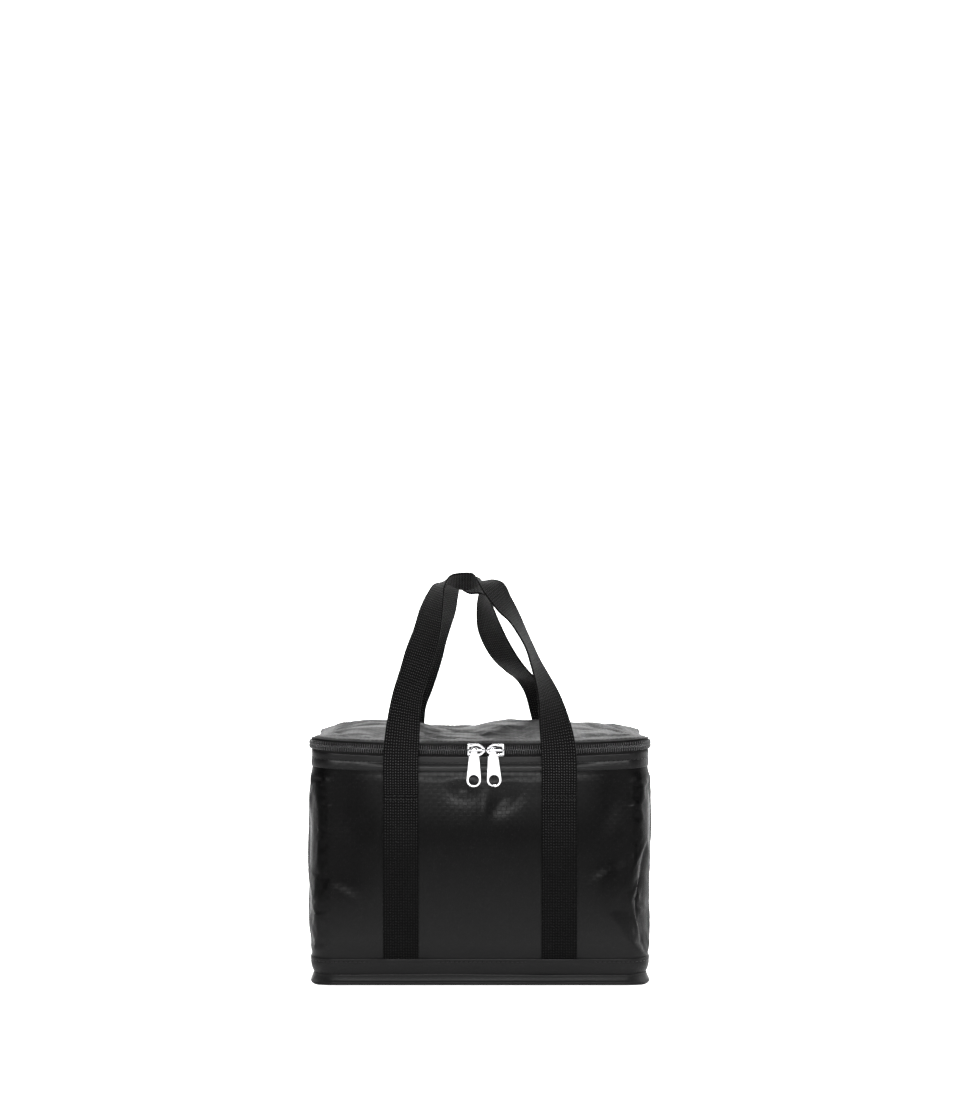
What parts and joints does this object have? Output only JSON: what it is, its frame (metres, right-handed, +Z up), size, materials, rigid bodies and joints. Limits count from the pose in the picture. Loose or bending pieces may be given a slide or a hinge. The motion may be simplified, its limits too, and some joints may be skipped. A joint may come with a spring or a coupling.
{
  "type": "insulated cooler bag",
  "caption": "Soft box-shaped insulated cooler bag with a zipped fold-back lid, sewn webbing straps and paired carry handles.",
  "frame": {"origin": "on the floor under the middle of the bag", "axes": "+Z up, the longest way with the handles standing; +X to the viewer's right, along the width; +Y from the front with the zipper sliders to the back with the fold"},
  "size_m": [0.2472, 0.1927, 0.2953],
  "materials": {
    "outer_cloth": "semi-gloss laminated woven cloth",
    "foam": "matt closed-cell foam",
    "foil_lining": "crinkled silver foil laminate",
    "binding_tape": "matt woven tape",
    "zipper_tape": "matt woven tape",
    "zipper_coil": "satin nylon coil",
    "webbing": "ribbed polypropylene webbing",
    "thread": "satin sewing thread",
    "slider_metal": "bright nickel plate"
  },
  "bodies": {
    "bag": {"base_panel": "outer_cloth", "front_panel": "outer_cloth", "back_panel": "outer_cloth", "left_panel": "outer_cloth", "right_panel": "outer_cloth", "base_lip": "outer_cloth", "base_band": "outer_cloth", "hem_band": "outer_cloth", "foam_front": "foam", "foam_back": "foam", "foam_left": "foam", "foam_right": "foam", "foam_base": "foam", "liner_tub": "foil_lining", "rim_binding": "binding_tape", "zipper_tape_lower": "zipper_tape", "zipper_coil_lower": "zipper_coil", "zipper_end_left": "outer_cloth", "zipper_end_right": "outer_cloth", "hinge_strip": "outer_cloth", "front_strap_left": "webbing", "front_strap_right": "webbing", "rear_strap_left": "webbing", "rear_strap_right": "webbing", "front_stitches": "thread", "rear_stitches": "thread"},
    "lid": {"lid_panel": "outer_cloth", "foam_lid": "foam", "liner_lid": "foil_lining", "lid_binding": "binding_tape", "zipper_tape_upper": "zipper_tape", "zipper_coil_upper": "zipper_coil", "hinge_flap": "outer_cloth"},
    "front_loop": {"front_handle": "webbing"},
    "rear_loop": {"rear_handle": "webbing"},
    "left_slider": {"slider_left": "slider_metal"},
    "right_slider": {"slider_right": "slider_metal"},
    "left_pull": {"pull_left": "slider_metal"},
    "right_pull": {"pull_right": "slider_metal"}
  },
  "joints": [
    {"name": "lid_fold", "type": "hinge", "parent": "bag", "child": "lid", "pos_m": [0, 0.0753, 0.1714], "axis": [-1, 0, 0], "range_deg": [0, 180]},
    {"name": "front_handle_fold", "type": "hinge", "parent": "bag", "child": "front_loop", "pos_m": [0, -0.0779, 0.138], "axis": [1, 0, 0], "range_deg": [0, 130]},
    {"name": "rear_handle_fold", "type": "hinge", "parent": "bag", "child": "rear_loop", "pos_m": [0, 0.0779, 0.138], "axis": [-1, 0, 0], "range_deg": [0, 130]},
    {"name": "left_slider_travel", "type": "slide", "parent": "bag", "child": "left_slider", "axis": [-1, 0, 0], "range_m": [0, 0.095]},
    {"name": "right_slider_travel", "type": "slide", "parent": "bag", "child": "right_slider", "axis": [1, 0, 0], "range_m": [0, 0.087]},
    {"name": "left_pull_swing", "type": "hinge", "parent": "left_slider", "child": "left_pull", "pos_m": [-0.0042, -0.0804, 0.169], "axis": [-1, 0, 0], "range_deg": [0, 150]},
    {"name": "right_pull_swing", "type": "hinge", "parent": "right_slider", "child": "right_pull", "pos_m": [0.0091, -0.0804, 0.169], "axis": [-1, 0, 0], "range_deg": [0, 150]}
  ],
  "couplings": [
    {"joint": "rear_handle_fold", "follows": "lid_fold", "ratio": 0.72}
  ]
}
